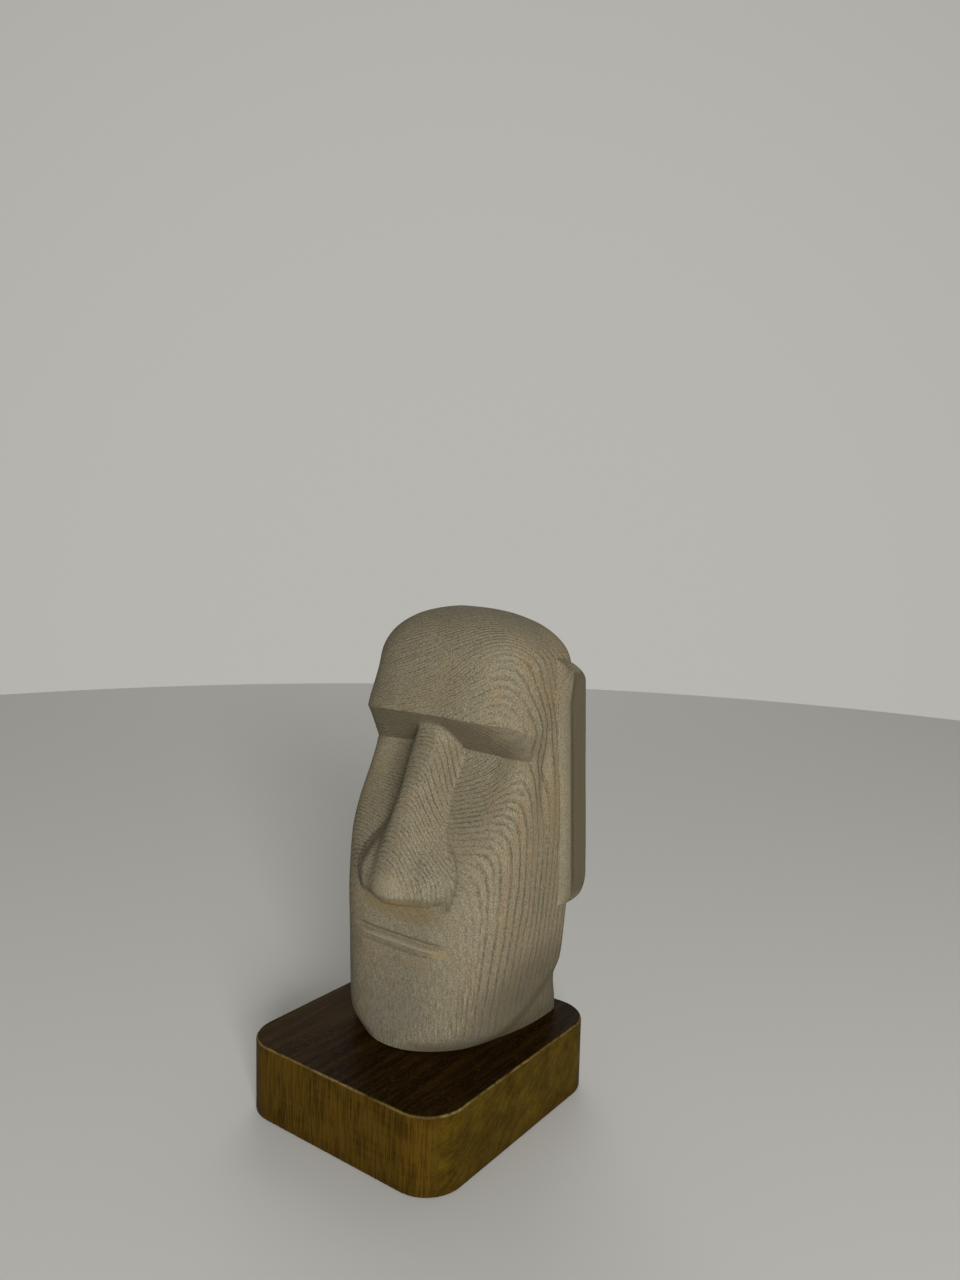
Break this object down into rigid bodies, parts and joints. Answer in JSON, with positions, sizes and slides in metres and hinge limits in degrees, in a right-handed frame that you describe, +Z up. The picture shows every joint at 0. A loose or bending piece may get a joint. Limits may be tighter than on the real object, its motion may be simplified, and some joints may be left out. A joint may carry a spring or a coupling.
{
  "type": "moai statue",
  "caption": "Carved wooden moai head with long ears and a straight nose, standing on a varnished wooden plinth with rounded corners.",
  "frame": {"origin": "middle of the plinth's underside, where it stands on a surface", "axes": "+Z up, the face looks along -Y, +X towards the statue's left ear"},
  "size_m": [0.08, 0.0864, 0.161],
  "materials": {
    "stained_wood": "thin grey-brown stain over fine growth rings, matte",
    "varnished_wood": "very dark brown varnish, satin, worn along the rims"
  },
  "bodies": {
    "root": {"moai_head": "stained_wood", "plinth": "varnished_wood"}
  },
  "joints": []
}
